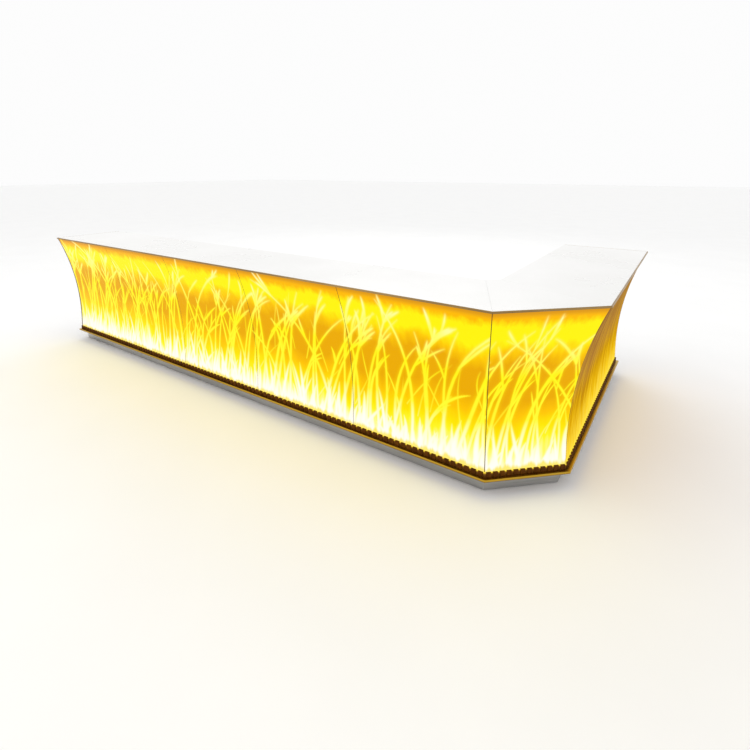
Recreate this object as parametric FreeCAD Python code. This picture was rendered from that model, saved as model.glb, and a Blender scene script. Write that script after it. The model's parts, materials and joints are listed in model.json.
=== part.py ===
import FreeCAD, Part
import math
import os

from FreeCAD import Vector as V

# Illuminated bar counter: a long run, a 45 degree corner face and a return run.
# Back-lit curved front panels stand on a stepped base and carry a thin counter top.
# Millimetres, +Z up.  Plan directions of every run:  s along the run, t inwards from
# the foot of the front panels, so negative t is the customers' side.

# ------------------------------------------------------------------ driving dimensions
PITCH_LONG = 875.0        # front panel module on the long run
N_LONG = 5
CORNER_LEN = 485.0        # corner face, measured along the foot of its panel
PITCH_RET = 650.0         # front panel module on the return run
N_RET = 3

Z_PANEL_FOOT = 138.0
Z_PANEL_TOP = 1088.0
Z_STRAIGHT = 238.0        # the panel is plumb up to here, then sweeps outwards
R_PANEL = 2000.0          # radius of the sweep, outer face
T_PANEL = 8.0             # panel thickness
SEAM = 4.0                # width of a seam between panels

Z_TOP = 1100.0            # counter surface
SLAB = 12.0               # solid-surface sheet
SUBSTRATE = 18.0
TRIM = 6.0                # edge trim of the counter top
T_TRIM = -190.0           # front edge of the slab
T_SLAB_REAR = 462.0

Z_DECK0, Z_DECK1 = 90.0, 108.0
T_DECK0 = 20.0
T_REAR = 430.0            # rear face of the carcass
BAND_PROUD = 10.0
NOSE_PROUD = 30.0
NOSE_H = 14.0

BOARD = 18.0              # carcass board
T_REFL0, T_REFL1 = 180.0, 192.0
RIB = 12.0
KICK_T0, KICK_T1 = 40.0, 58.0
KICK_R0, KICK_R1 = 372.0, 390.0
GLIDE_H = 8.0
BEARER_W = 50.0
SHELF_Z = (420.0, 745.0)
END = 18.0                # end panel thickness

DOOR_T0, DOOR_T1 = 411.0, 429.0
DOOR_Z0, DOOR_Z1 = 111.0, 1067.0
HINGE_GAP = 3.0
HINGE_H = 70.0
HINGE_Z = (220.0, 890.0)
KNUCKLE_R, PIN_R = 4.0, 2.0
HINGE_OUT = 4.5           # hinge axis behind the rear face of the carcass
KNOB_Z = 640.0

SW_S, SW_Z = CORNER_LEN / 2, 960.0  # light switch on the corner post
ROCK_T = 425.0
ROCK_TILT = 8.0

BOLT_R = 4.5              # joint holes in the left end panel
BOLT_T = (230.0, 390.0)
BOLT_Z = (190.0, 1000.0)
CABLE_R = 20.0            # cable entry through the deck of the electrical bay
CABLE_S, CABLE_T = 500.0, 300.0

K = math.tan(math.radians(22.5))
L_LONG = PITCH_LONG * N_LONG
L_RET = PITCH_RET * N_RET
C45 = math.sqrt(0.5)

# ------------------------------------------------------------------ frame
# the part's origin is the middle of its footprint box, on the floor
X_MIN = -L_LONG - END - TRIM
X_MAX = CORNER_LEN * C45 - T_TRIM + TRIM
Y_MIN = T_TRIM - TRIM
Y_MAX = CORNER_LEN * C45 + L_RET + END + TRIM
OX, OY = -(X_MIN + X_MAX) / 2.0, -(Y_MIN + Y_MAX) / 2.0


class Run:
    def __init__(self, o, u, v, s0, s1, m0, m1):
        self.o, self.u, self.v = o, u, v
        self.s0, self.s1, self.m0, self.m1 = s0, s1, m0, m1

    def p(self, s, t, z):
        return V(
            OX + self.o[0] + s * self.u[0] + t * self.v[0],
            OY + self.o[1] + s * self.u[1] + t * self.v[1],
            z,
        )

    def start(self, t, extra=0.0):
        return self.s0 + K * t if self.m0 else self.s0 - extra

    def end(self, t, extra=0.0):
        return self.s1 - K * t if self.m1 else self.s1 + extra


LONG = Run((0, 0), (1, 0), (0, 1), -L_LONG, 0.0, False, True)
CORNER = Run((0, 0), (C45, C45), (-C45, C45), 0.0, CORNER_LEN, True, True)
RET = Run((CORNER_LEN * C45, CORNER_LEN * C45), (0, 1), (-1, 0), 0.0, L_RET, True, False)
RUNS = (("long", LONG), ("corner", CORNER), ("return", RET))


# ------------------------------------------------------------------ helpers
def plan(run, pts, z0, z1):
    """Prism on a plan polygon of (s, t) points."""
    w = [run.p(s, t, z0) for s, t in pts]
    face = Part.Face(Part.makePolygon(w + [w[0]]))
    return face.extrude(V(0, 0, z1 - z0))


def board(run, s0, s1, t0, t1, z0, z1):
    return plan(run, [(s0, t0), (s1, t0), (s1, t1), (s0, t1)], z0, z1)


def strip(run, t0, t1, z0, z1, extra=0.0):
    """Board along a whole run, mitred where the run turns a corner."""
    return plan(
        run,
        [
            (run.start(t0, extra), t0),
            (run.end(t0, extra), t0),
            (run.end(t1, extra), t1),
            (run.start(t1, extra), t1),
        ],
        z0,
        z1,
    )


def section(run, edges, s0, s1):
    """Extrusion of a closed (t, z) section from s0 to s1.  An edge is ('l', a, b) or ('a', a, m, b)."""
    shapes = []
    for e in edges:
        q = [run.p(s0, t, z) for t, z in e[1:]]
        if e[0] == "l":
            shapes.append(Part.makeLine(q[0], q[1]))
        else:
            shapes.append(Part.Arc(q[0], q[1], q[2]).toShape())
    face = Part.Face(Part.Wire(shapes))
    d = V(run.u[0], run.u[1], 0) * (s1 - s0)
    return face.extrude(d)


def poly(pts):
    n = len(pts)
    return [("l", pts[i], pts[(i + 1) % n]) for i in range(n)]


def clip(run, a, b):
    """Plan region between the s-limits a(t) and b(t), as a tall prism."""
    lo, hi = -320.0, 560.0
    return plan(run, [(a(lo), lo), (b(lo), lo), (b(hi), hi), (a(hi), hi)], -20.0, 1200.0)


def mitred(run, edges, s0, s1, m0, m1, g0=0.0, g1=0.0):
    """Section along part of a run; a mitred end stops g short of the mitre plane."""
    k = 1.0 / math.cos(math.radians(22.5))
    body = section(run, edges, s0 - (300 if m0 else 0), s1 + (300 if m1 else 0))
    if not (m0 or m1):
        return body
    a = (lambda t: s0 + K * t + g0 * k) if m0 else (lambda t: s0 - 50)
    b = (lambda t: s1 - K * t - g1 * k) if m1 else (lambda t: s1 + 50)
    return body.common(clip(run, a, b)).Solids[0]


def mitre_plate(run_a, run_b, edges, half, end_b=False):
    """Plate lying in a corner's mitre plane, made of the two runs' sections."""
    k = half / math.cos(math.radians(22.5))
    pa = section(run_a, edges, run_a.s1 - 400, run_a.s1 + 300)
    pa = pa.common(clip(run_a, lambda t: run_a.s1 - K * t - k, lambda t: run_a.s1 - K * t))
    pb = section(run_b, edges, run_b.s0 - 300, run_b.s0 + 400)
    pb = pb.common(clip(run_b, lambda t: run_b.s0 + K * t, lambda t: run_b.s0 + K * t + k))
    return pa.fuse(pb).removeSplitter().Solids[0]


def arc_t(r, z):
    return -R_PANEL + math.sqrt(r * r - (z - Z_STRAIGHT) ** 2)


def sweep_section(r_out, r_in, z0, z1):
    """Closed section between two radii of the front sweep, plumb below Z_STRAIGHT."""
    zm = (Z_STRAIGHT + z1) / 2
    o, i = r_out - R_PANEL, r_in - R_PANEL
    return [
        ("l", (o, z0), (o, Z_STRAIGHT)),
        ("a", (o, Z_STRAIGHT), (arc_t(r_out, zm), zm), (arc_t(r_out, z1), z1)),
        ("l", (arc_t(r_out, z1), z1), (arc_t(r_in, z1), z1)),
        ("a", (arc_t(r_in, z1), z1), (arc_t(r_in, zm), zm), (i, Z_STRAIGHT)),
        ("l", (i, Z_STRAIGHT), (i, z0)),
        ("l", (i, z0), (o, z0)),
    ]


def cyl(run, s, t, z, r, h, axis):
    """Cylinder from (s, t, z) along 's', 't' or 'z'."""
    d = {"s": V(run.u[0], run.u[1], 0), "t": V(run.v[0], run.v[1], 0), "z": V(0, 0, 1)}[axis]
    if h < 0:
        d, h = d * -1, -h
    return Part.makeCylinder(r, h, run.p(s, t, z), d)


PARTS = {}


def add(name, *solids):
    flat = []
    for x in solids:
        flat += x if isinstance(x, (list, tuple)) else [x]
    PARTS[name] = [s for x in flat for s in (x.Solids if x.ShapeType != "Solid" else [x])]


# ------------------------------------------------------------------ front panels
PANEL = sweep_section(R_PANEL, R_PANEL + T_PANEL, Z_PANEL_FOOT, Z_PANEL_TOP)
h = SEAM / 2
for i in range(N_LONG):
    a, b = -L_LONG + i * PITCH_LONG, -L_LONG + (i + 1) * PITCH_LONG
    last = i == N_LONG - 1
    add(
        "long_panel_%d" % (i + 1),
        mitred(LONG, PANEL, a + (h if i else 0), b - (0 if last else h), False, last, 0, h),
    )
add("corner_panel", mitred(CORNER, PANEL, 0, CORNER_LEN, True, True, h, h))
for i in range(N_RET):
    a, b = i * PITCH_RET, (i + 1) * PITCH_RET
    add(
        "return_panel_%d" % (i + 1),
        mitred(RET, PANEL, a + (h if i else 0), b - (0 if i == N_RET - 1 else h), i == 0, False, h, 0),
    )

# seam strips between the panels, set a little below the outer face
SEAM_SEC = sweep_section(R_PANEL + 0.8, R_PANEL + T_PANEL, Z_PANEL_FOOT, Z_PANEL_TOP)
seams = [section(LONG, SEAM_SEC, -PITCH_LONG * i - h, -PITCH_LONG * i + h) for i in range(1, N_LONG)]
seams += [section(RET, SEAM_SEC, PITCH_RET * i - h, PITCH_RET * i + h) for i in range(1, N_RET)]
seams += [mitre_plate(LONG, CORNER, SEAM_SEC, h), mitre_plate(CORNER, RET, SEAM_SEC, h)]
add("panel_seam_strips", seams)

# ------------------------------------------------------------------ counter top
for name, run in RUNS:
    add("%s_counter_top" % name, strip(run, T_TRIM, T_SLAB_REAR, Z_TOP - SLAB, Z_TOP, END))
add(
    "counter_substrates",
    [strip(run, -165.0, T_REAR, Z_PANEL_TOP - SUBSTRATE, Z_PANEL_TOP) for _, run in RUNS],
)
for name, run in RUNS:
    add("%s_edge_trim" % name, strip(run, T_TRIM - TRIM, T_TRIM, Z_TOP - SLAB, Z_TOP, END))
add(
    "end_edge_trims",
    board(LONG, -L_LONG - END - TRIM, -L_LONG - END, T_TRIM - TRIM, T_SLAB_REAR, Z_TOP - SLAB, Z_TOP),
    board(RET, L_RET + END, L_RET + END + TRIM, T_TRIM - TRIM, T_SLAB_REAR, Z_TOP - SLAB, Z_TOP),
)

# ------------------------------------------------------------------ base
NZ0, NZ1 = Z_DECK1 - NOSE_H, Z_DECK1
r = 4.0
q = r * (1 - math.sqrt(0.5))
NOSE = [
    ("l", (T_DECK0, NZ1), (T_DECK0, NZ0)),
    ("l", (T_DECK0, NZ0), (-NOSE_PROUD + r, NZ0)),
    ("a", (-NOSE_PROUD + r, NZ0), (-NOSE_PROUD + q, NZ0 + q), (-NOSE_PROUD, NZ0 + r)),
    ("l", (-NOSE_PROUD, NZ0 + r), (-NOSE_PROUD, NZ1 - r)),
    ("a", (-NOSE_PROUD, NZ1 - r), (-NOSE_PROUD + q, NZ1 - q), (-NOSE_PROUD + r, NZ1)),
    ("l", (-NOSE_PROUD + r, NZ1), (T_DECK0, NZ1)),
]
for name, run in RUNS:
    s0 = run.s0 - (0 if run.m0 else END)
    s1 = run.s1 + (0 if run.m1 else END)
    add("%s_nosing" % name, mitred(run, NOSE, s0, s1, run.m0, run.m1))
for name, run in RUNS:
    add("%s_base_band" % name, strip(run, -BAND_PROUD, T_DECK0, NZ1, Z_PANEL_FOOT, END))

decks = {name: strip(run, T_DECK0, T_REAR, Z_DECK0, Z_DECK1) for name, run in RUNS}
decks["return"] = decks["return"].cut(cyl(RET, CABLE_S, CABLE_T, Z_DECK0 - 5, CABLE_R, 40, "z"))
add("base_deck", list(decks.values()))

for name, run in RUNS:
    add("%s_kick_plate" % name, strip(run, KICK_T0, KICK_T1, 4.0, Z_DECK0, -KICK_T0 + END))
E = KICK_T0 - END
add(
    "rear_kick_plates",
    [strip(run, KICK_R0, KICK_R1, 4.0, Z_DECK0, -E) for _, run in RUNS],
    board(LONG, -L_LONG + E, -L_LONG + E + BOARD, KICK_T1, KICK_R0, 4.0, Z_DECK0),
    board(RET, L_RET - E - BOARD, L_RET - E, KICK_T1, KICK_R0, 4.0, Z_DECK0),
)
bearers, glides = [], []
for run, places in (
    (LONG, [-L_LONG + 110] + [-PITCH_LONG * i for i in (4, 3, 2, 1)] + [-205.0]),
    (CORNER, [CORNER_LEN / 2]),
    (RET, [205.0, PITCH_RET, 2 * PITCH_RET, L_RET - 110]),
):
    for s in places:
        bearers.append(board(run, s - BEARER_W / 2, s + BEARER_W / 2, KICK_T1 + 2, KICK_R0 - 2, GLIDE_H, Z_DECK0))
        for t in (95.0, 335.0):
            glides.append(cyl(run, s, t, 0, 24.0, GLIDE_H, "z"))
add("base_bearers", bearers)
add("floor_glides", glides)

# ------------------------------------------------------------------ light box
Z_SUB = Z_PANEL_TOP - SUBSTRATE
RO = R_PANEL + T_PANEL + 2.0
zt = 1036.0
zm = (Z_STRAIGHT + zt) / 2
RIB_SEC = [
    ("l", (78.0, Z_DECK1), (78.0, 150.0)),
    ("l", (78.0, 150.0), (10.0, 150.0)),
    ("l", (10.0, 150.0), (10.0, Z_STRAIGHT)),
    ("a", (10.0, Z_STRAIGHT), (arc_t(RO, zm), zm), (arc_t(RO, zt), zt)),
    ("l", (arc_t(RO, zt), zt), (-105.0, zt)),
    ("l", (-105.0, zt), (-105.0, Z_SUB)),
    ("l", (-105.0, Z_SUB), (T_REFL0, Z_SUB)),
    ("l", (T_REFL0, Z_SUB), (T_REFL0, Z_DECK1)),
    ("l", (T_REFL0, Z_DECK1), (78.0, Z_DECK1)),
]
ribs = []
for run, places in (
    (LONG, [-PITCH_LONG * i for i in range(1, N_LONG)]),
    (RET, [PITCH_RET * i for i in range(1, N_RET)]),
):
    for s in places:
        rib = section(run, RIB_SEC, s - RIB / 2, s + RIB / 2)
        for t, z, rr in ((98.0, 300.0, 52.0), (78.0, 520.0, 60.0), (52.0, 750.0, 66.0), (20.0, 955.0, 58.0)):
            rib = rib.cut(cyl(run, s - 20, t, z, rr, 40, "s"))
        ribs.append(rib)
ribs += [mitre_plate(LONG, CORNER, RIB_SEC, RIB / 2), mitre_plate(CORNER, RET, RIB_SEC, RIB / 2)]
add("light_box_ribs", ribs)
add("reflector_boards", [strip(run, T_REFL0, T_REFL1, Z_DECK1, Z_SUB) for _, run in RUNS])

LOW = [(30, 108), (54, 108), (54, 122), (51, 122), (51, 111), (33, 111), (33, 122), (30, 122)]
HIGH = [(-150, 1070), (-126, 1070), (-126, 1056), (-129, 1056), (-129, 1067), (-147, 1067), (-147, 1056), (-150, 1056)]
add(
    "led_channels",
    [mitred(run, poly(c), run.s0, run.s1, run.m0, run.m1, 3, 3) for _, run in RUNS for c in (LOW, HIGH)],
)
led = []
for _, run in RUNS:
    led.append(mitred(run, poly([(36, 111), (48, 111), (48, 114), (36, 114)]), run.s0, run.s1, run.m0, run.m1, 6, 6))
    led.append(mitred(run, poly([(-144, 1067), (-132, 1067), (-132, 1064), (-144, 1064)]), run.s0, run.s1, run.m0, run.m1, 6, 6))
add("led_strips", led)

# ------------------------------------------------------------------ ends
zm = (Z_STRAIGHT + Z_PANEL_TOP) / 2
END_SEC = [
    ("l", (T_DECK0, Z_DECK0), (T_DECK0, Z_PANEL_FOOT)),
    ("l", (T_DECK0, Z_PANEL_FOOT), (0.0, Z_PANEL_FOOT)),
    ("l", (0.0, Z_PANEL_FOOT), (0.0, Z_STRAIGHT)),
    ("a", (0.0, Z_STRAIGHT), (arc_t(R_PANEL, zm), zm), (arc_t(R_PANEL, Z_PANEL_TOP), Z_PANEL_TOP)),
    ("l", (arc_t(R_PANEL, Z_PANEL_TOP), Z_PANEL_TOP), (T_REAR, Z_PANEL_TOP)),
    ("l", (T_REAR, Z_PANEL_TOP), (T_REAR, Z_DECK0)),
    ("l", (T_REAR, Z_DECK0), (T_DECK0, Z_DECK0)),
]
left = section(LONG, END_SEC, -L_LONG - END, -L_LONG)
for t in BOLT_T:
    for z in BOLT_Z:
        left = left.cut(cyl(LONG, -L_LONG - END - 5, t, z, BOLT_R, END + 10, "s"))
add("left_end_panel", left)
add("return_end_panel", section(RET, END_SEC, L_RET, L_RET + END))

screws = []
for t in (60.0, 230.0, 400.0):
    for run, s, d in ((LONG, -L_LONG - END, 1), (RET, L_RET + END, -1)):
        for z, tt in ((Z_DECK0 + 9.0, t), (Z_PANEL_TOP - 9.0, t - 60.0)):
            shank = cyl(run, s, tt, z, 2.2, d * 55.0, "s")
            head = cyl(run, s, tt, z, 6.0, -d * 1.2, "s")
            dome = Part.makeCone(6.0, 3.6, 1.6, run.p(s - d * 1.2, tt, z), V(run.u[0], run.u[1], 0) * -d)
            screws.append(shank.fuse([head, dome]).removeSplitter())
add("end_panel_screws", screws)

# ------------------------------------------------------------------ storage side
B2 = BOARD / 2
long_div = [(-PITCH_LONG * i - B2, -PITCH_LONG * i + B2) for i in (4, 3, 2, 1)] + [(-200.0, -182.0)]
ret_div = [(182.0, 200.0)] + [(PITCH_RET * i - B2, PITCH_RET * i + B2) for i in (1, 2)]
add("long_dividers", [board(LONG, a, b, T_REFL1, T_REAR, Z_DECK1, Z_SUB) for a, b in long_div])
add("return_dividers", [board(RET, a, b, T_REFL1, T_REAR, Z_DECK1, Z_SUB) for a, b in ret_div])

long_bays = []
edge = -L_LONG
for a, b in long_div:
    long_bays.append((edge, a))
    edge = b
ret_bays = [(ret_div[0][1], ret_div[1][0]), (ret_div[1][1], ret_div[2][0]), (ret_div[2][1], L_RET)]
CUPBOARD = long_bays[2]
ELECTRIC = ret_bays[0]
shelves = []
for bay in long_bays:
    t1 = 404.0 if bay == CUPBOARD else 424.0
    shelves += [board(LONG, bay[0], bay[1], T_REFL1, t1, z, z + BOARD) for z in SHELF_Z]
add("long_shelves", shelves)
shelves = []
for bay in ret_bays[1:]:
    shelves += [board(RET, bay[0], bay[1], T_REFL1, 424.0, z, z + BOARD) for z in SHELF_Z]
add("return_shelves", shelves)

# corner post with the cut-out for the light switch
post = strip(CORNER, T_REAR - BOARD, T_REAR, Z_DECK1, Z_SUB)
post = post.cut(board(CORNER, SW_S - 11.2, SW_S + 11.2, T_REAR - 30, T_REAR + 5, SW_Z - 15.2, SW_Z + 15.2))
add("corner_post", post)

# ------------------------------------------------------------------ light switch
house = board(CORNER, SW_S - 11, SW_S + 11, 404.0, T_REAR, SW_Z - 15, SW_Z + 15)
house = house.fuse(board(CORNER, SW_S - 13, SW_S + 13, T_REAR, T_REAR + 2, SW_Z - 17.5, SW_Z + 17.5))
house = house.cut(board(CORNER, SW_S - 9.2, SW_S + 9.2, 408.0, T_REAR + 5, SW_Z - 13.2, SW_Z + 13.2))
house = house.cut(cyl(CORNER, SW_S - 20, ROCK_T, SW_Z, 1.55, 40, "s")).removeSplitter()
add("switch_housing", house)
ROCK = [(-10, -4), (-10, 4), (3, 11.8), (8.5, 11.8), (5.5, 0), (8.5, -11.8), (3, -11.8)]
rock = section(CORNER, poly([(ROCK_T + a, SW_Z + b) for a, b in ROCK]), SW_S - 9.0, SW_S + 9.0)
rock = rock.fuse(cyl(CORNER, SW_S - 10.8, ROCK_T, SW_Z, 1.5, 21.6, "s")).removeSplitter()
rock.rotate(CORNER.p(SW_S, ROCK_T, SW_Z), V(C45, C45, 0), ROCK_TILT)
add("switch_rocker", rock)

# ------------------------------------------------------------------ doors and hinges
fixed, pins = [], []


def hinge(run, face, d, z):
    """Butt hinge on a divider face; d is +1 where the door lies towards +s.  Returns the moving leaf."""
    sa, ta = face + 1.5 * d, T_REAR + HINGE_OUT
    zs = (z, z + 20.0, z + 20.5, z + 49.5, z + 50.0, z + HINGE_H)

    def plate(s0, s1, t0, t1, z0, z1):
        return board(run, min(s0, s1), max(s0, s1), t0, t1, z0, z1)

    def ring(z0, z1):
        return cyl(run, sa, ta, z0, KNUCKLE_R, z1 - z0, "z")

    def bore(x):
        return x.cut(cyl(run, sa, ta, z - 5, PIN_R + 0.05, HINGE_H + 10, "z"))

    fix = plate(face, face + 1.2 * d, 396.0, ta - 4.5, z, z + HINGE_H)
    for z0, z1 in ((zs[0], zs[1]), (zs[4], zs[5])):
        fix = fix.fuse([plate(face, face + 1.2 * d, ta - 4.6, ta, z0, z1), ring(z0, z1)])
    mov = plate(face + 1.8 * d, face + HINGE_GAP * d, DOOR_T0, ta - 4.5, z, z + HINGE_H)
    mov = mov.fuse([plate(face + 1.8 * d, face + HINGE_GAP * d, ta - 4.6, ta, zs[2], zs[3]), ring(zs[2], zs[3])])
    fixed.append(bore(fix).removeSplitter())
    pin = cyl(run, sa, ta, z - 1.0, PIN_R, HINGE_H + 2.0, "z")
    pins.append(pin.fuse(cyl(run, sa, ta, z + HINGE_H, 3.4, 2.5, "z")).removeSplitter())
    return bore(mov).removeSplitter()


def knob(run, s, z):
    """Turned knob standing on a door's rear face."""
    p = [(0, 0), (9, 0), (9, 2.5), (5.5, 5), (5.5, 11), (14, 17), (15, 20.5), (13.5, 24.5), (9, 27), (0, 28)]
    pts = [run.p(s + a, DOOR_T1 + b, z) for a, b in p]
    face = Part.Face(Part.makePolygon(pts + [pts[0]]))
    return face.revolve(run.p(s, DOOR_T1, z), V(run.v[0], run.v[1], 0), 360)


def door(name, run, s0, s1, face, d, knob_s):
    add(name, board(run, s0, s1, DOOR_T0, DOOR_T1, DOOR_Z0, DOOR_Z1))
    add(name + "_hinge_leaves", [hinge(run, face, d, z) for z in HINGE_Z])
    add(name + "_knob", knob(run, knob_s, KNOB_Z))


a, b = CUPBOARD
w = (b - a - 2 * HINGE_GAP - 3.0) / 2
door("cupboard_door_right", LONG, a + HINGE_GAP, a + HINGE_GAP + w, a, 1, a + HINGE_GAP + w - 45)
door("cupboard_door_left", LONG, b - HINGE_GAP - w, b - HINGE_GAP, b, -1, b - HINGE_GAP - w + 45)
a, b = ELECTRIC
door("service_door", RET, a + 2.5, b - HINGE_GAP, b, -1, a + 2.5 + 45)
add("fixed_hinge_leaves", fixed)
add("hinge_pins", pins)

# ------------------------------------------------------------------ electrics in the service bay
drivers = []
for s in (225.0, 320.0):
    case = board(RET, s, s + 70, T_REFL1, T_REFL1 + 38, 610.0, 810.0)
    case = case.fuse([board(RET, s + 15, s + 55, T_REFL1, T_REFL1 + 3, 592.0, 610.0), board(RET, s + 15, s + 55, T_REFL1, T_REFL1 + 3, 810.0, 828.0)])
    for i in range(6):
        case = case.cut(board(RET, s + 8 + i * 10, s + 12 + i * 10, T_REFL1 + 34, T_REFL1 + 40, 640.0, 780.0))
    drivers.append(case.removeSplitter())
add("led_drivers", drivers)
tb = board(RET, 430.0, 550.0, T_REFL1, T_REFL1 + 55, 650.0, 770.0)
tb = tb.fuse([cyl(RET, 490.0, T_REFL1 + 28, 650.0, 12.0, -16.0, "z"), cyl(RET, 490.0, T_REFL1 + 28, 650.0, 16.0, -5.0, "z")])
tb = tb.cut(cyl(RET, 490.0, T_REFL1 + 28, 600.0, 5.0, 60.0, "z")).removeSplitter()
add("mains_terminal_box", tb)
trunk = board(RET, 215.0, 600.0, T_REFL1, T_REFL1 + 25, 530.0, 560.0)
add("cable_trunking", trunk)

# ------------------------------------------------------------------ write
os.makedirs("parts", exist_ok=True)
bad = 0
for name, solids in PARTS.items():
    for s in solids:
        if not s.isValid() or s.Volume <= 0:
            print("BAD", name, s.isValid(), s.Volume)
            bad += 1
    shape = solids[0] if len(solids) == 1 else Part.makeCompound(solids)
    shape.exportStep("parts/%s.step" % name)
allb = Part.makeCompound([s for v in PARTS.values() for s in v]).BoundBox
print(len(PARTS), "nodes", sum(len(v) for v in PARTS.values()), "solids", "bad", bad)
print("box", [round(x, 2) for x in (allb.XMin, allb.XMax, allb.YMin, allb.YMax, allb.ZMin, allb.ZMax)])
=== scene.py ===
import json
import math
import random

import bmesh
import bpy
import numpy as np
from mathutils import Matrix, Vector


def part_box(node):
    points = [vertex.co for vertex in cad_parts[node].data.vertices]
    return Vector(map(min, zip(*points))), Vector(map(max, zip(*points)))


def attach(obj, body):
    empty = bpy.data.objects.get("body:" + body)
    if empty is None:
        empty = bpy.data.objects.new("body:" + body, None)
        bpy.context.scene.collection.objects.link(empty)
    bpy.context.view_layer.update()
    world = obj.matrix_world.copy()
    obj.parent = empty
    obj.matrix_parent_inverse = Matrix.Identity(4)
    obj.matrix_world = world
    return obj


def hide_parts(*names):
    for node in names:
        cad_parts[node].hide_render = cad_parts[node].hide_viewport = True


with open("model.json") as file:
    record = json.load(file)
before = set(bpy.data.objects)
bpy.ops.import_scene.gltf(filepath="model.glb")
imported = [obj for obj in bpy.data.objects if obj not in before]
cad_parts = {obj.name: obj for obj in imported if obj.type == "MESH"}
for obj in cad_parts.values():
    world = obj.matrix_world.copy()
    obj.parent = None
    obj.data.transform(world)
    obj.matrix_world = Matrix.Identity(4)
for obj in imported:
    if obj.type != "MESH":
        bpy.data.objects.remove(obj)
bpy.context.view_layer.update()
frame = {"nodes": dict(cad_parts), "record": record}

NODES = frame["nodes"]
SLOT = {s["node"]: s["material_slot"] for s in frame["record"]["subparts"]}
ROOT = "counter"

# ---------------------------------------------------------------- the object's plan, as in the CAD, in metres
C45 = math.sqrt(0.5)
K = math.tan(math.radians(22.5))
PL, PC, PR = 0.875, 0.485, 0.650  # panel modules: long run, corner face, return run
L_LONG, L_RET = 5 * PL, 3 * PR
R = 2.0  # radius of the front's sweep
Z_FOOT, Z_STRAIGHT, Z_HEAD = 0.138, 0.238, 1.088
ARC = 0.1 + R * math.asin((Z_HEAD - Z_STRAIGHT) / R)  # length of the front face from foot to head
OX = (L_LONG + 0.024 - PC * C45 - 0.196) / 2
OY = (0.196 - PC * C45 - L_RET - 0.024) / 2


class Run:
    def __init__(self, o, u, v, s0, s1, m0, m1):
        self.o, self.u, self.v = o, u, v
        self.s0, self.s1, self.m0, self.m1 = s0, s1, m0, m1

    def p(self, s, t, z):
        return Vector((OX + self.o[0] + s * self.u[0] + t * self.v[0], OY + self.o[1] + s * self.u[1] + t * self.v[1], z))

    def d(self, s, t):
        return Vector((s * self.u[0] + t * self.v[0], s * self.u[1] + t * self.v[1], 0.0))


LONG = Run((0, 0), (1, 0), (0, 1), -L_LONG, 0.0, False, True)
CORNER = Run((0, 0), (C45, C45), (-C45, C45), 0.0, PC, True, True)
RET = Run((PC * C45, PC * C45), (0, 1), (-1, 0), 0.0, L_RET, True, False)


def front(run, s, h, d=0.0):
    """Point on the lit front: h runs up the face from its foot, d stands off it."""
    if h < 0.1:
        t, z, nt, nz = 0.0, Z_FOOT + h, -1.0, 0.0
    else:
        a = (h - 0.1) / R
        t, z, nt, nz = -R + R * math.cos(a), Z_STRAIGHT + R * math.sin(a), -math.cos(a), -math.sin(a)
    return run.p(s, t + nt * d, z + nz * d)


# ---------------------------------------------------------------- camera
cam = bpy.data.cameras.new("camera")
cam.sensor_width = 36.0
cam.lens = 23.628
cam.shift_x, cam.shift_y = 0.04, -0.2031
cam.clip_end = 200.0
cam_o = bpy.data.objects.new("camera", cam)
bpy.context.scene.collection.objects.link(cam_o)
YAW, PITCH = math.radians(35.732), math.radians(6.158)
fwd = Vector((-math.sin(YAW) * math.cos(PITCH), math.cos(YAW) * math.cos(PITCH), -math.sin(PITCH)))
cam_o.location = (2.7896, -3.5645, 1.7862)
cam_o.rotation_euler = fwd.to_track_quat("-Z", "Y").to_euler()
bpy.context.scene.camera = cam_o
bpy.context.scene.view_settings.view_transform = "Standard"
bpy.context.scene.view_settings.look = "None"


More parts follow.
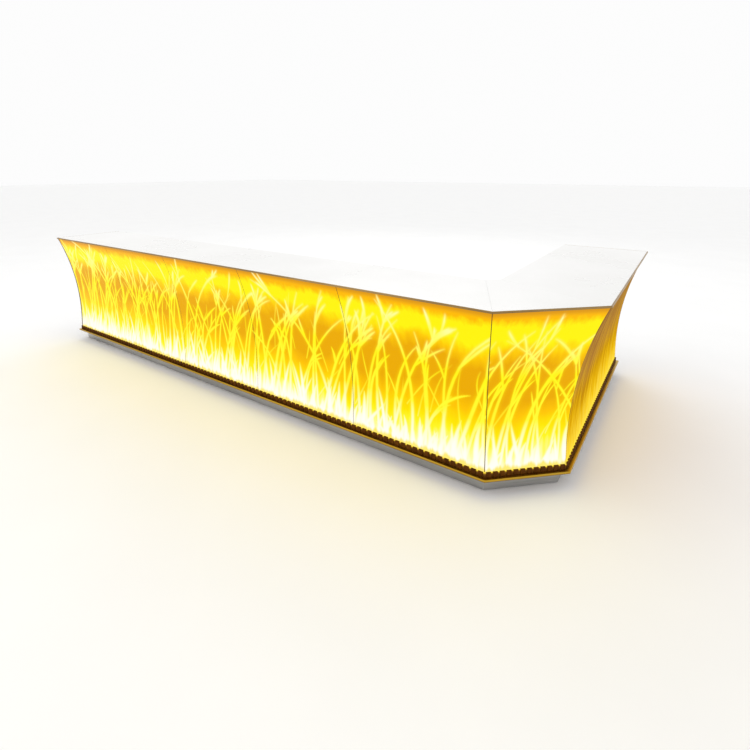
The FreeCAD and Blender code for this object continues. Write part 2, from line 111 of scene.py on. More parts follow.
# ---------------------------------------------------------------- materials
class Mat:
    def __init__(self, name, color=(0.5, 0.5, 0.5), rough=0.5, metal=0.0, spec=0.5, coat=0.0, coat_rough=0.05, ior=1.5):
        self.m = bpy.data.materials.new(name)
        self.m.use_nodes = True
        self.t = self.m.node_tree
        self.b = next(n for n in self.t.nodes if n.type == "BSDF_PRINCIPLED")
        i = self.b.inputs
        i["Base Color"].default_value = (*color, 1)
        i["Roughness"].default_value = rough
        i["Metallic"].default_value = metal
        i["Specular IOR Level"].default_value = spec
        i["IOR"].default_value = ior
        i["Coat Weight"].default_value = coat
        i["Coat Roughness"].default_value = coat_rough
        self.m.diffuse_color = (*color, 1)

    def node(self, kind, **props):
        n = self.t.nodes.new(kind)
        for k, v in props.items():
            setattr(n, k, v)
        return n

    def put(self, socket, value):
        if hasattr(value, "is_output"):
            self.t.links.new(value, socket)
        else:
            socket.default_value = value

    def to(self, name, out):
        self.t.links.new(out, self.b.inputs[name])

    def coords(self, scale=(1, 1, 1), rot=(0, 0, 0)):
        tc = self.node("ShaderNodeTexCoord")
        mp = self.node("ShaderNodeMapping")
        mp.inputs["Scale"].default_value = scale
        mp.inputs["Rotation"].default_value = rot
        self.t.links.new(tc.outputs["Object"], mp.inputs["Vector"])
        return mp.outputs["Vector"]

    def noise(self, vec, scale=1.0, detail=4.0, rough=0.5, dist=0.0):
        n = self.node("ShaderNodeTexNoise")
        self.put(n.inputs["Vector"], vec)
        n.inputs["Scale"].default_value = scale
        n.inputs["Detail"].default_value = detail
        n.inputs["Roughness"].default_value = rough
        n.inputs["Distortion"].default_value = dist
        return n.outputs["Fac"]

    def voronoi(self, vec, scale, feature="F1"):
        n = self.node("ShaderNodeTexVoronoi", feature=feature)
        self.put(n.inputs["Vector"], vec)
        n.inputs["Scale"].default_value = scale
        return n.outputs["Distance"]

    def wave(self, vec, scale, dist=0.0, detail=2.0, direction="Z", profile="SIN", dscale=1.0):
        n = self.node("ShaderNodeTexWave", wave_type="BANDS", bands_direction=direction, wave_profile=profile)
        self.put(n.inputs["Vector"], vec)
        n.inputs["Scale"].default_value = scale
        n.inputs["Distortion"].default_value = dist
        n.inputs["Detail"].default_value = detail
        n.inputs["Detail Scale"].default_value = dscale
        return n.outputs["Fac"]

    def ramp(self, fac, stops, interp="LINEAR"):
        n = self.node("ShaderNodeValToRGB")
        r = n.color_ramp
        r.interpolation = interp
        while len(r.elements) < len(stops):
            r.elements.new(0.5)
        for e, (pos, col) in zip(r.elements, stops):
            e.position = pos
        for e, (pos, col) in zip(r.elements, stops):
            e.color = (*col, 1) if len(col) == 3 else col
        self.put(n.inputs["Fac"], fac)
        return n.outputs["Color"]

    def remap(self, v, a, b, c, d, smooth=False):
        n = self.node("ShaderNodeMapRange", interpolation_type="SMOOTHSTEP" if smooth else "LINEAR")
        self.put(n.inputs["Value"], v)
        for k, x in zip(("From Min", "From Max", "To Min", "To Max"), (a, b, c, d)):
            self.put(n.inputs[k], x)
        return n.outputs["Result"]

    def math(self, op, a, b=0.0, clamp=False):
        n = self.node("ShaderNodeMath", operation=op, use_clamp=clamp)
        self.put(n.inputs[0], a)
        self.put(n.inputs[1], b)
        return n.outputs[0]

    def mix(self, fac, a, b, blend="MIX"):
        n = self.node("ShaderNodeMix", data_type="RGBA", blend_type=blend)
        self.put(n.inputs[0], fac)
        self.put(n.inputs[6], a if hasattr(a, "is_output") else (*a, 1))
        self.put(n.inputs[7], b if hasattr(b, "is_output") else (*b, 1))
        return n.outputs[2]

    def xyz(self, vec):
        n = self.node("ShaderNodeSeparateXYZ")
        self.put(n.inputs[0], vec)
        return n.outputs

    def bump(self, height, strength=0.2, distance=0.001):
        n = self.node("ShaderNodeBump")
        n.inputs["Strength"].default_value = strength
        n.inputs["Distance"].default_value = distance
        self.put(n.inputs["Height"], height)
        self.to("Normal", n.outputs["Normal"])


MATS = {}


def lit_panel(name, stops, head_color, blade_stops, strength, white, glow_color, spread, spec):
    """Back-lit printed sheet: the ramp runs up the face; the painted fields give blades, their glow and white heat."""
    m = Mat(name, (0.06, 0.024, 0.0), rough=0.25, spec=spec)
    v = m.remap(m.xyz(m.coords())[2], Z_FOOT, Z_HEAD, 0.0, 1.0)
    cloud = m.noise(m.coords((4.2, 4.2, 3.0)), 1.0, 3.0, 0.55)
    streak = m.noise(m.coords((30.0, 30.0, 2.2)), 1.0, 3.0, 0.6)
    low = m.remap(v, 0.0, 0.42, 0.22, 0.0, True)
    high = m.remap(v, 0.45, 0.75, 0.0, 0.08, True)
    dv = m.math("ADD", m.math("MULTIPLY", m.math("SUBTRACT", streak, 0.5), m.math("ADD", low, high)), m.math("MULTIPLY", m.math("SUBTRACT", cloud, 0.5), m.remap(v, 0.80, 0.94, 0.26, 0.05, True)))
    glow = m.ramp(m.math("ADD", v, dv, True), stops)
    glow = m.mix(m.remap(v, 0.955, 0.995, 0.0, 1.0, True), glow, head_color)
    at = m.node("ShaderNodeAttribute", attribute_name="blade")
    sep = m.node("ShaderNodeSeparateColor")
    m.t.links.new(at.outputs["Color"], sep.inputs[0])
    glow = m.mix(m.math("MULTIPLY", sep.outputs[1], spread), glow, glow_color)
    col = m.mix(m.math("MULTIPLY", sep.outputs[0], strength), glow, m.ramp(v, blade_stops))
    col = m.mix(m.math("MULTIPLY", sep.outputs[2], white), col, (1.0, 1.0, 0.92))
    foot = m.math("ADD", v, m.math("MULTIPLY", m.math("SUBTRACT", 0.5, streak), 0.09))
    m.to("Emission Color", m.mix(m.remap(foot, 0.004, 0.034, 0.85, 0.0, True), col, (1.0, 0.80, 0.06)))  # uneven yellow line along the foot
    m.b.inputs["Emission Strength"].default_value = 1.0
    m.to("Roughness", m.remap(m.noise(m.coords((30, 30, 30)), 1.0, 3.0), 0.3, 0.7, 0.2, 0.3))
    m.bump(m.noise(m.coords((9, 9, 5)), 1.0, 2.0), 0.05, 0.002)
    return m.m


def seam_strip():
    m = Mat("seam_strip", (0.075, 0.035, 0.01), rough=0.5, spec=0.3)
    n = m.noise(m.coords((60, 60, 12)), 1.0, 4.0)
    m.to("Base Color", m.ramp(n, [(0.3, (0.055, 0.024, 0.006)), (0.7, (0.12, 0.06, 0.018))]))
    m.to("Roughness", m.remap(n, 0.3, 0.7, 0.4, 0.62))
    m.bump(m.noise(m.coords((200, 200, 200)), 1.0, 2.0), 0.1, 0.0005)
    return m.m


def counter_sheet():
    m = Mat("counter_sheet", (0.86, 0.85, 0.83), rough=0.3, spec=0.45)
    fleck = m.voronoi(m.coords((1, 1, 1)), 150.0)
    cloud = m.noise(m.coords((2.2, 2.2, 2.2)), 1.0, 4.0)
    fine = m.noise(m.coords((110, 110, 110)), 1.0, 2.0)
    base = m.ramp(cloud, [(0.3, (0.83, 0.825, 0.805)), (0.7, (0.885, 0.88, 0.865))])
    base = m.mix(m.remap(fine, 0.58, 0.74, 0.0, 0.3), base, (0.80, 0.79, 0.77))
    base = m.mix(m.remap(fleck, 0.10, 0.24, 0.25, 0.0), base, (0.92, 0.92, 0.91))
    m.to("Base Color", base)
    m.to("Roughness", m.remap(cloud, 0.25, 0.75, 0.24, 0.36))
    m.bump(m.noise(m.coords((500, 500, 500)), 1.0, 2.0), 0.03, 0.0003)
    return m.m


def brushed(name, dark, light, rough, metal=1.0, stretch=(3, 3, 420), spec=0.5, bump=0.05, foot=None):
    """Metal brushed along the length of a run."""
    m = Mat(name, light, rough=rough, metal=metal, spec=spec)
    line = m.noise(m.coords(stretch), 1.0, 5.0, 0.6)
    wide = m.noise(m.coords((2.3, 2.3, 7.0)), 1.0, 4.0)
    f = m.math("ADD", m.math("MULTIPLY", line, 0.6), m.math("MULTIPLY", wide, 0.4))
    col = m.ramp(f, [(0.35, dark), (0.65, light)])
    if foot:  # darkened lower edge, a painted shadow line
        col = m.mix(m.remap(m.xyz(m.coords())[2], foot[0], foot[1], 1.0, 0.0, True), col, foot[2])
    m.to("Base Color", col)
    m.to("Roughness", m.remap(f, 0.3, 0.7, rough * 1.25, rough * 0.8))
    m.bump(line, bump, 0.0004)
    return m.m


def brown_band():
    """Dark strip behind the blocks; the glow of the panel above along its top is painted light, given as emission
    rising towards its top edge.
    """
    m = Mat("brown_band", (0.06, 0.026, 0.005), rough=0.5, spec=0.2)
    z = m.xyz(m.coords())[2]
    g = m.noise(m.coords((18, 18, 260)), 1.0, 4.0)
    m.to("Base Color", m.ramp(g, [(0.3, (0.035, 0.014, 0.002)), (0.7, (0.09, 0.042, 0.007))]))
    # painted light: emission that rises with height stands in for the panel's glow falling on the band
    k = m.remap(z, 0.114, 0.138, 0.0, 1.0, True)
    m.to("Emission Color", m.ramp(k, [(0.0, (0.03, 0.008, 0.0)), (0.5, (0.09, 0.032, 0.0)), (0.8, (0.36, 0.18, 0.003)), (1.0, (1.0, 0.78, 0.05))]))
    m.b.inputs["Emission Strength"].default_value = 1.0
    m.to("Roughness", m.remap(g, 0.3, 0.7, 0.38, 0.55))
    m.bump(g, 0.12, 0.0006)
    return m.m


def band_block():
    m = Mat("band_block", (0.11, 0.04, 0.002), rough=0.6, spec=0.08)
    g = m.noise(m.coords((40, 40, 14)), 1.0, 4.0, 0.6, 0.4)
    m.to("Base Color", m.ramp(g, [(0.3, (0.05, 0.014, 0.0006)), (0.55, (0.10, 0.031, 0.0012)), (0.75, (0.16, 0.057, 0.0025))]))
    m.to("Roughness", m.remap(g, 0.3, 0.7, 0.52, 0.7))
    m.bump(m.noise(m.coords((160, 160, 50)), 1.0, 3.0), 0.12, 0.0006)
    return m.m


def wood(name, stops, rough=0.42, along="z", coat=0.15):
    """Veneer with its grain along z, or level for boards."""
    m = Mat(name, stops[len(stops) // 2][1], rough=rough, spec=0.4, coat=coat, coat_rough=0.25)
    sc = (16, 16, 0.9) if along == "z" else (1.1, 1.1, 16)
    fine = (330, 330, 7) if along == "z" else (7, 7, 330)
    lines = m.noise(m.coords((75, 75, 1.3) if along == "z" else (1.3, 1.3, 75)), 1.0, 6.0, 0.65, 0.3)
    warp = m.noise(m.coords(sc), 1.0, 5.0, 0.55, 0.7)
    ring = m.wave(m.coords((7, 7, 0.35) if along == "z" else (0.5, 0.5, 9)), 1.0, 6.0, 3.0, "DIAGONAL", "SIN", 1.4)
    pore = m.noise(m.coords(fine), 1.0, 3.0, 0.6)
    f = m.math("ADD", m.math("ADD", m.math("MULTIPLY", warp, 0.30), m.math("MULTIPLY", lines, 0.34)), m.math("ADD", m.math("MULTIPLY", ring, 0.20), m.math("MULTIPLY", pore, 0.16)))
    m.to("Base Color", m.ramp(f, stops))
    m.to("Roughness", m.remap(pore, 0.3, 0.7, rough * 1.2, rough * 0.85))
    m.bump(pore, 0.15, 0.0005)
    return m.m


def plywood():
    m = Mat("plywood", (0.55, 0.38, 0.21), rough=0.55, spec=0.3)
    geo = m.node("ShaderNodeNewGeometry")
    nz = m.math("ABSOLUTE", m.xyz(geo.outputs["Normal"])[2])
    ply = m.wave(m.coords((1, 1, 1)), 105.0, 0.4, 2.0, "Z", "SIN", 3.0)
    grain = m.noise(m.coords((2.0, 26, 26)), 1.0, 5.0, 0.6, 0.5)
    edge = m.ramp(ply, [(0.25, (0.30, 0.175, 0.075)), (0.6, (0.60, 0.42, 0.235))])
    face = m.ramp(grain, [(0.3, (0.47, 0.315, 0.165)), (0.7, (0.66, 0.48, 0.29))])
    m.to("Base Color", m.mix(m.remap(nz, 0.4, 0.6, 0.0, 1.0), edge, face))
    m.to("Roughness", m.remap(grain, 0.3, 0.7, 0.62, 0.5))
    m.bump(grain, 0.1, 0.0005)
    return m.m


def plain(name, dark, light, rough, spec=0.5, scale=90.0, bump=0.08, dist=0.0006, coat=0.0, metal=0.0):
    """Moulded, laminated or coated surface: fine mottling in colour and sheen over a soft grain."""
    m = Mat(name, light, rough=rough, spec=spec, coat=coat, metal=metal)
    big = m.noise(m.coords((3, 3, 3)), 1.0, 4.0)
    fine = m.noise(m.coords((scale, scale, scale)), 1.0, 3.0, 0.6)
    f = m.math("ADD", m.math("MULTIPLY", big, 0.6), m.math("MULTIPLY", fine, 0.4))
    m.to("Base Color", m.ramp(f, [(0.32, dark), (0.68, light)]))
    m.to("Roughness", m.remap(f, 0.3, 0.7, rough * 1.15, rough * 0.88))
    m.bump(fine, bump, dist)
    return m.m


def led_strip():
    m = Mat("led_strip", (0.9, 0.85, 0.7), rough=0.4)
    dots = m.voronoi(m.coords((1, 1, 1)), 60.0)
    m.to("Emission Color", m.ramp(dots, [(0.1, (1.0, 0.92, 0.70)), (0.5, (0.9, 0.72, 0.35))]))
    m.b.inputs["Emission Strength"].default_value = 1.5
    m.bump(dots, 0.1, 0.001)
    return m.m


MATS["lit_panel"] = lit_panel(
    "lit_panel",
    [
        (0.00, (1.0, 1.0, 0.86)),
        (0.05, (1.0, 0.99, 0.62)),
        (0.10, (1.0, 0.96, 0.24)),
        (0.15, (1.0, 0.91, 0.02)),
        (0.22, (1.0, 0.79, 0.0)),
        (0.33, (0.95, 0.54, 0.0)),
        (0.46, (0.79, 0.39, 0.0)),
        (0.66, (0.79, 0.39, 0.0)),
        (0.74, (0.94, 0.57, 0.0)),
        (0.815, (0.99, 0.89, 0.003)),
        (0.905, (1.0, 0.88, 0.003)),
        (0.955, (0.95, 0.48, 0.0)),
    ],
    (0.68, 0.30, 0.008),
    [
        (0.00, (1.0, 1.0, 0.85)),
        (0.16, (1.0, 0.98, 0.40)),
        (0.30, (1.0, 0.97, 0.04)),
        (0.58, (1.0, 0.95, 0.01)),
        (0.80, (1.0, 0.98, 0.10)),
        (0.95, (1.0, 0.97, 0.18)),
        (1.00, (1.0, 0.70, 0.03)),
    ],
    1.0,
    1.0,
    (1.0, 0.88, 0.0),
    0.40,
    0.04,
)
# painted shade: the return run gets a dimmed, browner copy of the lit panel, amber at the foot and dark brown towards
# the top, with weaker blades and almost no white heat, though all panels are lit alike
MATS["lit_panel_side"] = lit_panel(
    "lit_panel_side",
    [
        (0.00, (0.96, 0.66, 0.012)),
        (0.08, (0.90, 0.575, 0.003)),
        (0.19, (0.72, 0.395, 0.001)),
        (0.32, (0.50, 0.24, 0.006)),
        (0.47, (0.41, 0.20, 0.035)),
        (0.64, (0.33, 0.155, 0.036)),
        (0.82, (0.28, 0.13, 0.036)),
        (0.95, (0.24, 0.115, 0.034)),
    ],
    (0.18, 0.10, 0.045),
    [
        (0.00, (1.0, 0.82, 0.06)),
        (0.28, (0.95, 0.62, 0.01)),
        (0.55, (0.68, 0.40, 0.03)),
        (1.00, (0.42, 0.26, 0.09)),
    ],
    0.5,
    0.04,
    (0.85, 0.47, 0.0),
    0.10,
    0.0,
)
MATS["seam_strip"] = seam_strip()
MATS["counter_sheet"] = counter_sheet()
MATS["bronze_trim"] = brushed("bronze_trim", (0.25, 0.155, 0.055), (0.42, 0.275, 0.11), 0.36, 0.85)
# painted shade: the foot option darkens the nosing's lower 3 mm into a dark brown shadow line
MATS["gold_nosing"] = brushed("gold_nosing", (0.40, 0.235, 0.018), (0.58, 0.37, 0.045), 0.3, 1.0, foot=(0.0965, 0.0995, (0.12, 0.045, 0.008)))
MATS["brown_band"] = brown_band()
MATS["band_block"] = band_block()
MATS["kick_steel"] = brushed("kick_steel", (0.36, 0.36, 0.35), (0.56, 0.56, 0.55), 0.34, 1.0)
MATS["plywood"] = plywood()
MATS["bearer_steel"] = plain("bearer_steel", (0.012, 0.012, 0.013), (0.03, 0.03, 0.032), 0.5, 0.4, 400.0, 0.25, 0.0005)
MATS["glide_nylon"] = plain("glide_nylon", (0.012, 0.012, 0.012), (0.03, 0.03, 0.03), 0.6, 0.4, 250.0)
MATS["white_board"] = plain("white_board", (0.735, 0.725, 0.70), (0.80, 0.79, 0.765), 0.42, 0.4, 700.0, 0.06, 0.0004)
MATS["walnut"] = wood("walnut", [(0.28, (0.032, 0.013, 0.006)), (0.45, (0.075, 0.034, 0.015)), (0.58, (0.125, 0.06, 0.027)), (0.74, (0.20, 0.105, 0.05))])
MATS["steel_fitting"] = brushed("steel_fitting", (0.47, 0.46, 0.44), (0.66, 0.65, 0.63), 0.3, 1.0, (180, 180, 30))
MATS["brass_knob"] = brushed("brass_knob", (0.66, 0.42, 0.12), (0.85, 0.60, 0.22), 0.2, 1.0, (90, 90, 90), bump=0.02)
MATS["led_aluminium"] = brushed("led_aluminium", (0.58, 0.59, 0.61), (0.76, 0.77, 0.79), 0.35, 1.0)
MATS["led_strip"] = led_strip()
MATS["driver_case"] = brushed("driver_case", (0.52, 0.53, 0.55), (0.70, 0.71, 0.73), 0.38, 0.9, (120, 120, 4))
MATS["grey_plastic"] = plain("grey_plastic", (0.33, 0.34, 0.35), (0.42, 0.43, 0.44), 0.5, 0.4, 600.0, 0.15, 0.0004)
MATS["black_plastic"] = plain("black_plastic", (0.008, 0.008, 0.009), (0.02, 0.02, 0.021), 0.28, 0.5, 300.0, 0.05, 0.0003)

for name, o in NODES.items():
    o.data.materials.clear()
    o.data.materials.append(MATS[SLOT[name]])


# ---------------------------------------------------------------- crisp but eased edges on boards and trims
def ease(name, width, seg=2):
    o = NODES[name]
    w = o.modifiers.new("weld", "WELD")
    w.merge_threshold = 0.00002
    b = o.modifiers.new("bevel", "BEVEL")
    b.width, b.segments, b.limit_method, b.angle_limit = width, seg, "ANGLE", math.radians(40)
    b.use_clamp_overlap = True
    n = o.modifiers.new("normals", "WEIGHTED_NORMAL")
    n.keep_sharp = False


for r in ("long", "corner", "return"):
    ease(r + "_counter_top", 0.0015)
    ease(r + "_edge_trim", 0.0012)
    ease(r + "_kick_plate", 0.001)
for n in ("end_edge_trims", "return_end_panel", "corner_post", "cupboard_door_left", "cupboard_door_right", "service_door"):
    ease(n, 0.0012)
for n in ("long_dividers", "return_dividers", "long_shelves", "return_shelves", "base_bearers", "cable_trunking", "mains_terminal_box", "led_drivers"):
    ease(n, 0.0008)
for n in ("switch_housing", "switch_rocker"):
    ease(n, 0.0005)


# ---------------------------------------------------------------- building pieces
def piece(name, bm, mats, body=ROOT, replaces=(), angle=35.0):
    me = bpy.data.meshes.new(name)
    bm.normal_update()
    bm.to_mesh(me)
    bm.free()
    for p in me.polygons:
        p.use_smooth = True
    me.set_sharp_from_angle(angle=math.radians(angle))
    for m in mats:
        me.materials.append(m)
    o = bpy.data.objects.new(name, me)
    bpy.context.scene.collection.objects.link(o)
    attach(o, body)
    if replaces:
        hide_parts(*replaces)
    return o


# base band: a strip with a row of small blocks standing on it
def cuboid(bm, run, s0, s1, t0, t1, z0, z1, mat, m0=0.0, m1=0.0):
    """Box in run coordinates; m0 and m1 slant its ends along the mitres."""
    v = []
    for z in (z0, z1):
        for t, in ((t0,), (t1,)):
            v.append(bm.verts.new(run.p(s0 + m0 * t, t, z)))
            v.append(bm.verts.new(run.p(s1 + m1 * t, t, z)))
    for q in ((0, 1, 3, 2), (4, 6, 7, 5), (0, 4, 5, 1), (2, 3, 7, 6), (0, 2, 6, 4), (1, 5, 7, 3)):
        f = bm.faces.new([v[i] for i in q])
        f.material_index = mat
    return v


def base_band(name, run, count):
    bm = bmesh.new()
    e0 = run.s0 - (0 if run.m0 else 0.018)
    e1 = run.s1 + (0 if run.m1 else 0.018)
    cuboid(bm, run, e0, e1, -0.004, 0.020, 0.108, 0.1362, 0, K if run.m0 else 0.0, -K if run.m1 else 0.0)
    step = (e1 - e0) / count
    for i in range(count):
        c = e0 + (i + 0.5) * step
        cuboid(bm, run, c - 0.0138, c + 0.0138, -0.010, -0.0002, 0.1095, 0.138, 1)
    bmesh.ops.recalc_face_normals(bm, faces=bm.faces)
    bmesh.ops.bevel(bm, geom=list(bm.edges), offset=0.0009, offset_type="OFFSET", segments=2, profile=0.6, affect="EDGES", clamp_overlap=True, material=-1)
    return piece(name + "_band_detail", bm, [MATS["brown_band"], MATS["band_block"]], replaces=(name + "_base_band",))


base_band("long", LONG, 109)
base_band("corner", CORNER, 12)
base_band("return", RET, 49)


# lit fronts: one closed sheet per panel, its face worked into grass in low relief
NH = 160  # rows up the face
HALF_SEAM, T_PANEL = 0.002, 0.008
W_MIN = 0.0036  # least half width of a blade that the mesh can show


def blade_path(s, h, lean, bend, length, n=13):
    pts = []
    for i in range(n):
        pts.append((s, h))
        a = lean + bend * (i / (n - 1)) ** 1.5
        s += math.sin(a) * length / (n - 1)
        h += math.cos(a) * length / (n - 1)
    return pts


def mural(lo, hi, seed, fine=1.0):
    """Blades along one run, each (points, half width, strength, white at the root, white at the tip)."""
    rng = random.Random(seed)
    out = []
    s = lo
    while s < hi:  # stems with side leaves
        way = 1 if rng.random() < 0.74 else -1
        lean = math.radians(way * rng.gauss(2, 9))
        bend = way * math.radians(max(4, rng.gauss(34, 15)))
        tall = ARC * (rng.uniform(0.68, 0.97) if rng.random() < 0.8 else rng.uniform(0.40, 0.64))
        p = blade_path(s, -0.01, lean, bend, 1.0)
        p = blade_path(s, -0.01, lean, bend, min(1.15, tall / max(0.5, p[-1][1])))
        w = rng.uniform(0.0074, 0.0124) * fine
        out.append((p, w, rng.uniform(0.85, 1.0), 1.0, 0.35))
        for _ in range(rng.choice((0, 1, 1, 2, 2))):
            i = rng.randint(5, 11)
            side = rng.choice((-1, 1, 1))
            a = math.atan2(p[i][0] - p[i - 1][0], p[i][1] - p[i - 1][1]) + side * math.radians(rng.uniform(8, 24))
            a = max(-0.8, min(0.8, a))
            q = blade_path(p[i][0], p[i][1], a, side * math.radians(rng.uniform(4, 34)), rng.uniform(0.11, 0.30), 9)
            out.append((q, w * rng.uniform(0.72, 1.1), rng.uniform(0.85, 1.0), 0.0, 0.5))
        if tall > 0.66 * ARC and rng.random() < 0.55:  # splayed leaves at the top of the stem
            i = rng.randint(8, 11)
            a = math.atan2(p[i][0] - p[i - 1][0], p[i][1] - p[i - 1][1])
            for k in (-1, 1, 1)[: rng.randint(2, 3)]:
                b = max(-0.85, min(0.85, a + k * math.radians(rng.uniform(9, 30))))
                q = blade_path(p[i][0], p[i][1], b, k * math.radians(rng.uniform(0, 22)), rng.uniform(0.09, 0.20), 8)
                out.append((q, w * rng.uniform(0.8, 1.15), 1.0, 0.0, 0.55))
        s += rng.uniform(0.034, 0.070) * fine
    s = lo
    while s < hi:  # thin stalks behind
        p = blade_path(s, rng.uniform(0.0, 0.45), math.radians(max(-34, min(34, rng.gauss(10, 20)))), math.radians(rng.gauss(14, 16)), rng.uniform(0.2, 0.5), 9)
        out.append((p, rng.uniform(0.0042, 0.0056), rng.uniform(0.45, 0.75), 0.0, 0.2))
        s += rng.uniform(0.05, 0.12)
    s = lo
    while s < hi:  # short tufts at the foot
        p = blade_path(s, -0.02, math.radians(rng.gauss(4, 15)), math.radians(rng.gauss(4, 14)), rng.uniform(0.09, 0.18) + rng.random() ** 3 * 0.2, 8)
        out.append((p, rng.uniform(0.0085, 0.0150), 1.0, 1.7, 0.0))
        s += rng.uniform(0.013, 0.027)
    return out


def blade_width(w, x):
    """Half width along a blade: slim at the root, full in the middle, drawn out to the tip."""
    return w * (0.14 + 0.93 * (1 - x**2.6) * (0.58 + 0.42 * np.minimum(1, 2.6 * x)))


def draw(S, H, blades):
    """Fields over the face: body of the blades, the glow round them, and white heat."""
    core, halo, hot = np.zeros(S.shape), np.zeros(S.shape), np.zeros(S.shape)
    for pts, w0, power, root, tip in blades:
        P = np.array(pts)
        m = 4.2 * w0
        r = np.nonzero((H[:, 0] > P[:, 1].min() - m) & (H[:, 0] < P[:, 1].max() + m))[0]
        if not r.size:
            continue
        r = slice(r[0], r[-1] + 1)
        c = np.nonzero(((S[r] > P[:, 0].min() - m) & (S[r] < P[:, 0].max() + m)).any(axis=0))[0]
        if not c.size:
            continue
        c = slice(c[0], c[-1] + 1)
        X, Y = S[r, c], H[r, c]
        best, at = np.full(X.shape, 9.0), np.zeros(X.shape)
        n = len(P) - 1
        for j in range(n):
            a, d = P[j], P[j + 1] - P[j]
            t = np.clip(((X - a[0]) * d[0] + (Y - a[1]) * d[1]) / (d @ d), 0, 1)
            x = (j + t) / n
            ratio = np.hypot(X - a[0] - t * d[0], Y - a[1] - t * d[1]) / np.maximum(blade_width(w0, x), W_MIN)
            near = ratio < best
            best, at = np.where(near, ratio, best), np.where(near, x, at)
        e = np.clip((1.42 - best) / 0.95, 0, 1)
        power = power * np.minimum(1, blade_width(w0, at) / W_MIN)  # tips too fine for the mesh fade out instead
        body = e * e * (3 - 2 * e) * power
        heat = np.clip(root * (1 - at * (3.2 if root < 1.2 else 1.0)), 0, 1) + tip * np.clip((at - 0.35) / 0.5, 0, 1) * np.clip((Y - 0.55) / 0.35, 0, 1)
        core[r, c] = np.maximum(core[r, c], body)
        halo[r, c] = np.maximum(halo[r, c], np.exp(-((best / 2.0) ** 2)) * power)
        hot[r, c] = np.maximum(hot[r, c], body * np.clip(heat, 0, 1))
    return core, halo, hot


def skin(name, node, run, blades, a, b, ma, mb, pitch, mat):
    """Panel between a and b; ma and mb are true at mitred edges."""
    h = np.linspace(0.0, ARC, NH + 1)
    ang = np.clip((h - 0.1) / R, 0, None)
    t, z = -R + R * np.cos(ang), np.where(h < 0.1, Z_FOOT + h, Z_STRAIGHT + R * np.sin(ang))
    nt, nz = -np.cos(ang), -np.sin(ang)
    ns = int(round((b - a) / pitch))
    ga = 0.0 if a == run.s0 and not ma else HALF_SEAM * (1.0824 if ma else 1.0)
    gb = 0.0 if b == run.s1 and not mb else HALF_SEAM * (1.0824 if mb else 1.0)
    s0 = a + ga + (K * t if ma else 0 * t)
    s1 = b - gb - (K * t if mb else 0 * t)
    S = s0[:, None] + (s1 - s0)[:, None] * np.linspace(0, 1, ns + 1)[None, :]
    H = np.repeat(h[:, None], ns + 1, 1)
    core, halo, hot = draw(S, H, blades)
    for _ in range(3):  # the heat spreads softly
        e = np.pad(hot, ((1, 1), (2, 2)), "edge")
        hot = (e[1:-1, :-4] + 2 * e[1:-1, 1:-3] + 3 * e[1:-1, 2:-2] + 2 * e[1:-1, 3:-1] + e[1:-1, 4:]) / 15 + (e[:-2, 2:-2] + e[2:, 2:-2]) / 5
    d = 0.0007 * core + 0.0002 * halo
    d[0], d[-1] = 0, 0
    T, Z = t[:, None] + nt[:, None] * d, z[:, None] + nz[:, None] * d
    X = OX + run.o[0] + S * run.u[0] + T * run.v[0]
    Y = OY + run.o[1] + S * run.u[1] + T * run.v[1]
    verts = np.stack([X, Y, Z], 2).reshape(-1, 3)
    zb = np.clip(z, None, Z_HEAD)
    tb = np.where(zb < Z_STRAIGHT, T_PANEL, -R + np.sqrt((R + T_PANEL) ** 2 - np.clip(zb - Z_STRAIGHT, 0, None) ** 2))
    back = []
    for i in range(NH + 1):
        for s in (a + ga + (K * tb[i] if ma else 0), b - gb - (K * tb[i] if mb else 0)):
            back.append(run.p(s, tb[i], zb[i]))
    n1, nf = ns + 1, len(verts)
    at = lambda i, j: i * n1 + j
    bk = lambda i, j: nf + 2 * i + j
    up = np.abs(core[:-1, :-1] - core[1:, 1:]) + np.abs(hot[:-1, :-1] - hot[1:, 1:])
    down = np.abs(core[1:, :-1] - core[:-1, 1:]) + np.abs(hot[1:, :-1] - hot[:-1, 1:])
    lean = (up - down).tolist()  # which diagonal of each cell the blade's edge runs along
    faces = []
    for i in range(NH):
        for j in range(ns):
            q, k = (at(i, j), at(i, j + 1), at(i + 1, j + 1), at(i + 1, j)), lean[i][j]
            if abs(k) < 0.04:
                faces.append(q)
            elif k < 0:
                faces += [(q[0], q[1], q[2]), (q[0], q[2], q[3])]
            else:
                faces += [(q[0], q[1], q[3]), (q[1], q[2], q[3])]
    for i in range(NH):
        faces.append((at(i, 0), at(i + 1, 0), bk(i + 1, 0), bk(i, 0)))
        faces.append((at(i, ns), bk(i, 1), bk(i + 1, 1), at(i + 1, ns)))
        faces.append((bk(i, 0), bk(i + 1, 0), bk(i + 1, 1), bk(i, 1)))
    faces.append([at(0, j) for j in range(ns, -1, -1)] + [bk(0, 0), bk(0, 1)])
    faces.append([at(NH, j) for j in range(ns + 1)] + [bk(NH, 1), bk(NH, 0)])
    me = bpy.data.meshes.new(name)
    me.from_pydata([tuple(v) for v in verts.tolist()] + [tuple(v) for v in back], [], faces)
    col = np.zeros((len(me.vertices), 4), np.float32)
    col[:nf, 0], col[:nf, 1], col[:nf, 2], col[:, 3] = core.ravel(), halo.ravel(), hot.ravel(), 1
    me.attributes.new("blade", "FLOAT_COLOR", "POINT").data.foreach_set("color", col.ravel())
    me.shade_smooth()
    me.set_sharp_from_angle(angle=math.radians(40))
    me.materials.append(mat)
    o = bpy.data.objects.new(name, me)
    bpy.context.scene.collection.objects.link(o)
    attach(o, ROOT)
    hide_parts(node)
    return o


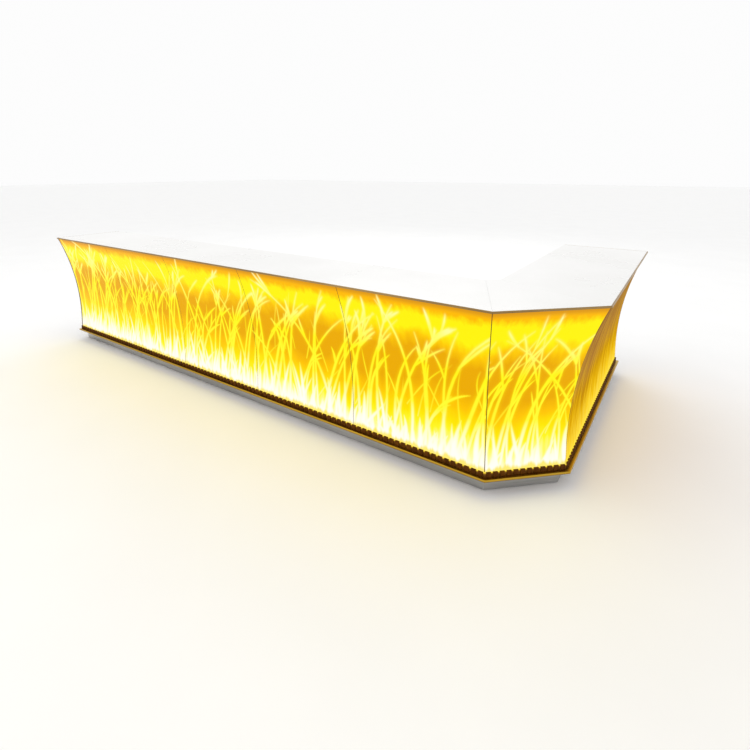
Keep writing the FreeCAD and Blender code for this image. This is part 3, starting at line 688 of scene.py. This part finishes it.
blades = mural(-L_LONG - 0.2, 0.3, 17, 0.92)
for i in range(5):
    skin("long_front_%d" % (i + 1), "long_panel_%d" % (i + 1), LONG, blades, -L_LONG + i * PL, -L_LONG + (i + 1) * PL, False, i == 4, 0.003, MATS["lit_panel"])
skin("corner_front", "corner_panel", CORNER, mural(-0.35, PC + 0.3, 19, 0.86), 0.0, PC, True, True, 0.003, MATS["lit_panel"])
blades = mural(-0.3, L_RET + 0.2, 37)
for i in range(3):
    skin("return_front_%d" % (i + 1), "return_panel_%d" % (i + 1), RET, blades, i * PR, (i + 1) * PR, i == 0, False, 0.003, MATS["lit_panel_side"])


# turned door knobs
def knob(node, body, axis):
    lo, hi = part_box(node)
    c = [(x + y) / 2 for x, y in zip(lo, hi)]
    prof = [(0.0, 0.0), (0.0088, 0.0), (0.0088, 0.0012), (0.0082, 0.0022), (0.0066, 0.0034), (0.0054, 0.0054), (0.0050, 0.0085), (0.0054, 0.0112), (0.0075, 0.0136), (0.0112, 0.0156), (0.0138, 0.0178), (0.0149, 0.0204), (0.0147, 0.0230), (0.0131, 0.0254), (0.0098, 0.0270), (0.0050, 0.0278), (0.0, 0.0280)]
    bm = bmesh.new()
    if axis == "y":
        o, d, e1, e2 = Vector((c[0], lo[1], c[2])), Vector((0, 1, 0)), Vector((1, 0, 0)), Vector((0, 0, 1))
    else:
        o, d, e1, e2 = Vector((hi[0], c[1], c[2])), Vector((-1, 0, 0)), Vector((0, 1, 0)), Vector((0, 0, 1))
    seg = 40
    rings = []
    for r, h in prof:
        if r == 0:
            rings.append([bm.verts.new(o + d * h)])
        else:
            rings.append([bm.verts.new(o + d * h + (e1 * math.cos(a) + e2 * math.sin(a)) * r) for a in (2 * math.pi * i / seg for i in range(seg))])
    for a, b in zip(rings, rings[1:]):
        for i in range(seg):
            j = (i + 1) % seg
            if len(a) == 1:
                bm.faces.new((a[0], b[j], b[i]))
            elif len(b) == 1:
                bm.faces.new((a[i], a[j], b[0]))
            else:
                bm.faces.new((a[i], a[j], b[j], b[i]))
    bmesh.ops.recalc_face_normals(bm, faces=bm.faces)
    return piece(node + "_turned", bm, [MATS["brass_knob"]], body=body, replaces=(node,), angle=50.0)


knob("cupboard_door_left_knob", "cupboard_door_left", "y")
knob("cupboard_door_right_knob", "cupboard_door_right", "y")
knob("service_door_knob", "service_door", "x")

# ---------------------------------------------------------------- stage
floor_mat = Mat("floor", (0.86, 0.86, 0.855), rough=0.7, spec=0.2)
fn = floor_mat.noise(floor_mat.coords((1.5, 1.5, 1.5)), 1.0, 5.0)
floor_mat.to("Base Color", floor_mat.ramp(fn, [(0.3, (0.945, 0.945, 0.94)), (0.7, (0.965, 0.965, 0.96))]))
bm = bmesh.new()
bmesh.ops.create_grid(bm, x_segments=1, y_segments=1, size=60.0)
me = bpy.data.meshes.new("floor")
bm.to_mesh(me)
bm.free()
me.materials.append(floor_mat.m)
floor = bpy.data.objects.new("floor", me)
bpy.context.scene.collection.objects.link(floor)

world = bpy.data.worlds.new("studio")
world.use_nodes = True
bg = next(n for n in world.node_tree.nodes if n.type == "BACKGROUND")
bg.inputs["Color"].default_value = (1.0, 1.0, 1.0, 1.0)
bg.inputs["Strength"].default_value = 0.98
bpy.context.scene.world = world


def area(name, loc, target, size, watts, color=(1, 1, 1)):
    l = bpy.data.lights.new(name, "AREA")
    l.shape, l.size, l.size_y, l.energy, l.color = "RECTANGLE", size[0], size[1], watts, color
    o = bpy.data.objects.new(name, l)
    o.location = loc
    o.rotation_euler = (Vector(target) - Vector(loc)).to_track_quat("-Z", "Y").to_euler()
    bpy.context.scene.collection.objects.link(o)
    return o


area("key", (-3.5, -6.0, 6.5), (0, -0.5, 0.4), (5, 5), 70)
area("rear", (-2.0, 6.0, 6.0), (0, 0, 0.4), (5, 5), 70)
